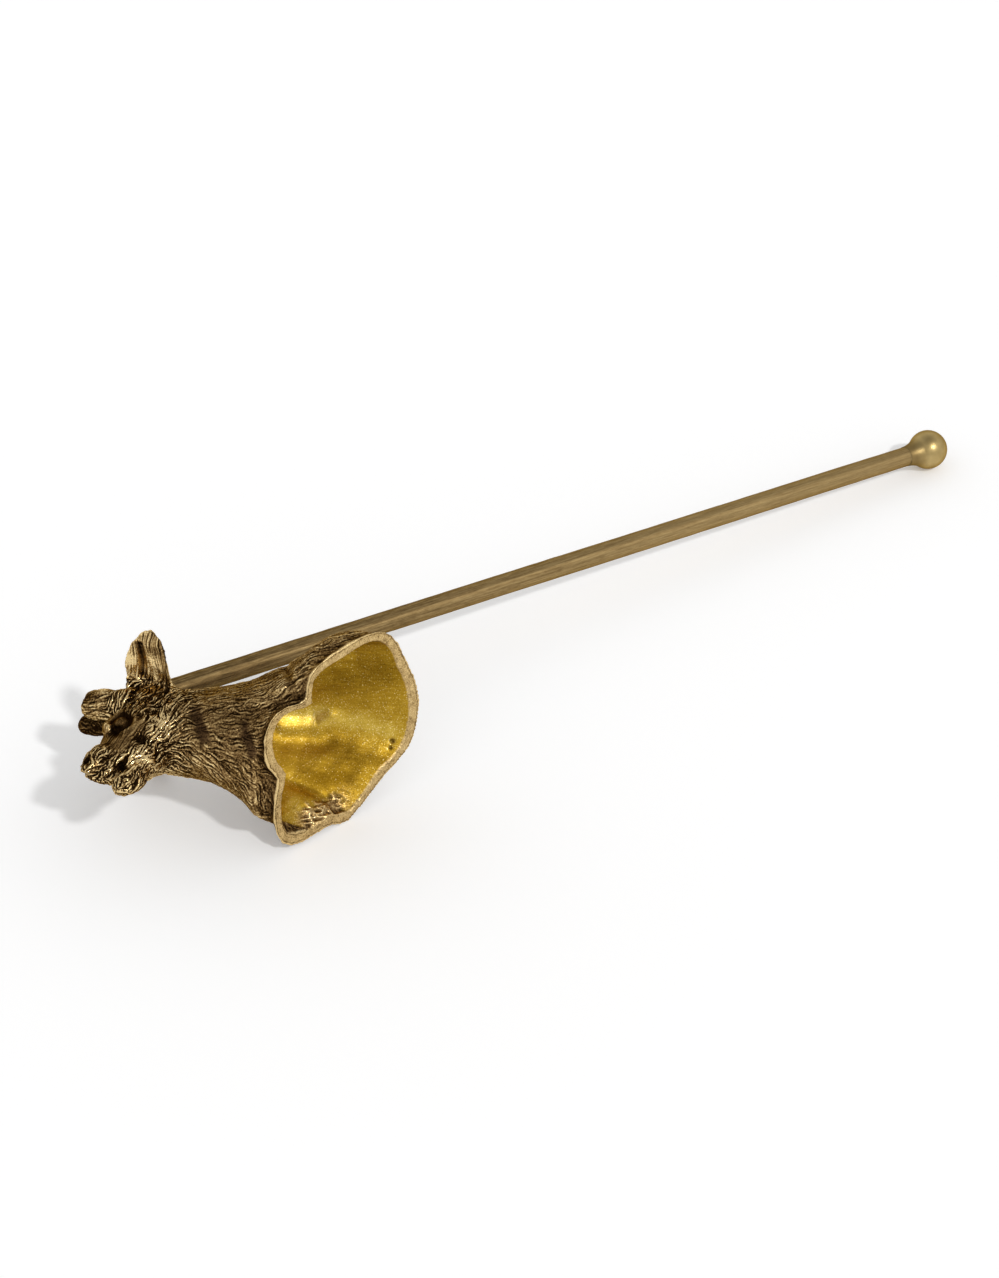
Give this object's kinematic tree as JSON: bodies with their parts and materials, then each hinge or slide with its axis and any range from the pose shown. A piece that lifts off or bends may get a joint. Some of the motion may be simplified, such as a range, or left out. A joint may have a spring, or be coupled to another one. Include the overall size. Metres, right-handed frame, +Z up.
{
  "type": "candle snuffer",
  "caption": "Candle snuffer: a hollow cast giraffe bust whose flared open neck covers the flame, on a straight round rod handle with a ball at its far end.",
  "frame": {"origin": "on the table the snuffer lies on, under the middle of its bounding box", "axes": "+Z up from the table, +X along the handle towards the ball, -Y the way the open neck faces"},
  "size_m": [0.254, 0.0484, 0.0436],
  "materials": {
    "antique_cast_brass": "antiqued casting, dark in the grooves, with a bright gilt hollow",
    "drawn_brass_rod": "satin with dark streaks along the rod",
    "turned_brass_ball": "satin"
  },
  "bodies": {
    "root": {"giraffe_bust": "antique_cast_brass", "handle_rod": "drawn_brass_rod", "ball_finial": "turned_brass_ball"}
  },
  "joints": []
}
